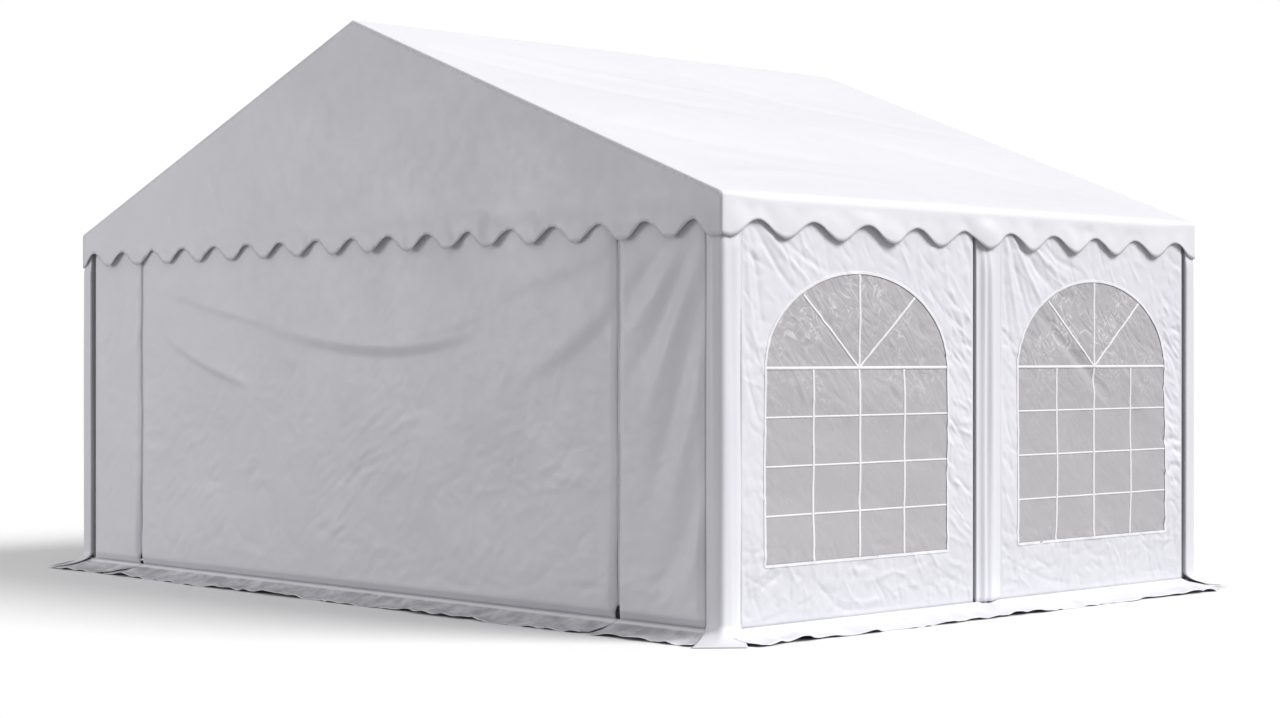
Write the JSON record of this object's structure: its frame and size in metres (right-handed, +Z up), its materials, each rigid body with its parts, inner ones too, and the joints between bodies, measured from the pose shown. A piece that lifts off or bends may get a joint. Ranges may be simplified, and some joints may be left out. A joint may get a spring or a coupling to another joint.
{
  "type": "marquee tent",
  "caption": "White gabled marquee tent on a steel tube frame, with scalloped valances, zipped door panels, arched film windows and flared ground skirts.",
  "frame": {"origin": "on the ground under the middle of the tent", "axes": "+X across the gable to the windowed right-hand side, +Y from the front gable to the back gable, +Z up"},
  "size_m": [6.2, 4.4, 3.25],
  "materials": {
    "roof_cover": "white coated PVC sheet, semi-gloss",
    "wall_cover": "white coated PVC sheet, thinner, creased from folding",
    "ground_skirt": "white coated PVC sheet, lying loose",
    "window_film": "grey-clear soft plastic film with white bars",
    "galvanised_steel": "hot-dip galvanised tube"
  },
  "bodies": {
    "root": {"roof_slope_left": "roof_cover", "roof_slope_right": "roof_cover", "gable_front": "roof_cover", "gable_back": "roof_cover", "valance_left": "roof_cover", "valance_right": "roof_cover", "front_door": "wall_cover", "front_wall_left": "wall_cover", "front_wall_right": "wall_cover", "back_door": "wall_cover", "back_wall_left": "wall_cover", "back_wall_right": "wall_cover", "side_wall_right_front": "wall_cover", "side_wall_right_back": "wall_cover", "side_wall_left_front": "wall_cover", "side_wall_left_back": "wall_cover", "window_right_front": "window_film", "window_right_back": "window_film", "window_left_front": "window_film", "window_left_back": "window_film", "corner_cover_front_left": "wall_cover", "corner_cover_front_right": "wall_cover", "corner_cover_back_left": "wall_cover", "corner_cover_back_right": "wall_cover", "post_cover_left": "wall_cover", "post_cover_right": "wall_cover", "skirt_front": "ground_skirt", "skirt_back": "ground_skirt", "skirt_left": "ground_skirt", "skirt_right": "ground_skirt", "post_front_left": "galvanised_steel", "post_front_right": "galvanised_steel", "post_middle_left": "galvanised_steel", "post_middle_right": "galvanised_steel", "post_back_left": "galvanised_steel", "post_back_right": "galvanised_steel", "rafter_front_left": "galvanised_steel", "rafter_front_right": "galvanised_steel", "rafter_middle_left": "galvanised_steel", "rafter_middle_right": "galvanised_steel", "rafter_back_left": "galvanised_steel", "rafter_back_right": "galvanised_steel", "ridge_purlin": "galvanised_steel", "eave_purlin_left": "galvanised_steel", "eave_purlin_right": "galvanised_steel", "slope_purlin_left": "galvanised_steel", "slope_purlin_right": "galvanised_steel"}
  },
  "joints": []
}
